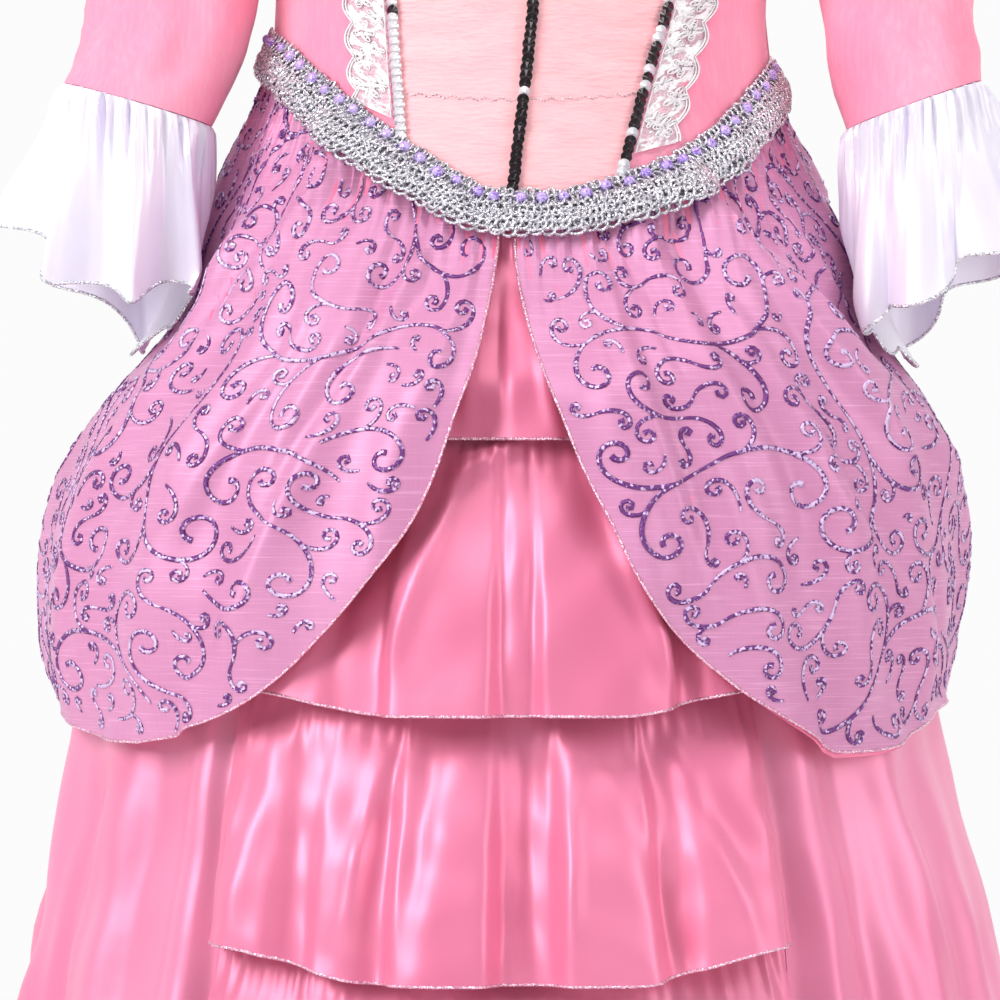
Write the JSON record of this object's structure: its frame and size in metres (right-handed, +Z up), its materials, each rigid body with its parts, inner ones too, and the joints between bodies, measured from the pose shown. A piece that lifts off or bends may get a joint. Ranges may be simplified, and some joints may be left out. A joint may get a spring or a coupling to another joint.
{
  "type": "princess costume dress",
  "caption": "Child's princess costume dress in its worn form: open bodice with flounced sleeves, split overskirt gathered under a looped braid, and a long skirt with ruffle tiers in front.",
  "frame": {"origin": "midway between the two shoulder seams, at their height, where the dress hangs on its wearer", "axes": "+Z up, -Y towards the front of the dress, +X to the right of someone who looks at its front"},
  "size_m": [0.5216, 0.4732, 0.9101],
  "materials": {
    "velour": "pink velour with a soft sheen",
    "chiffon": "salmon pink gathered chiffon",
    "satin": "shiny deep pink satin",
    "side_satin": "shiny pink satin",
    "organza": "sheer lilac pink organza over pink satin, with purple glitter scrolls",
    "flounce_satin": "white satin with a lilac cast",
    "lace": "white lace",
    "sequins": "silver and black sequins",
    "silver_braid": "silver metallic loops with lilac beads"
  },
  "bodies": {
    "root": {"bodice_front": "chiffon", "bodice_side_front_left": "velour", "bodice_side_front_right": "velour", "bodice_back_left": "velour", "bodice_back_right": "velour", "back_placket": "velour", "sequin_strip_left": "sequins", "sequin_strip_centre": "sequins", "sequin_strip_right": "sequins", "lace_left": "lace", "lace_right": "lace", "waist_braid": "silver_braid", "sleeve_left": "velour", "sleeve_right": "velour", "flounce_left": "flounce_satin", "flounce_right": "flounce_satin", "overskirt_left": "organza", "overskirt_right": "organza", "skirt_front_gore": "side_satin", "skirt_side_left": "side_satin", "skirt_side_right": "side_satin", "skirt_back": "side_satin", "skirt_tier_1": "satin", "skirt_tier_2": "satin", "skirt_tier_3": "satin", "skirt_tier_4": "satin", "skirt_tier_5": "satin"}
  },
  "joints": []
}
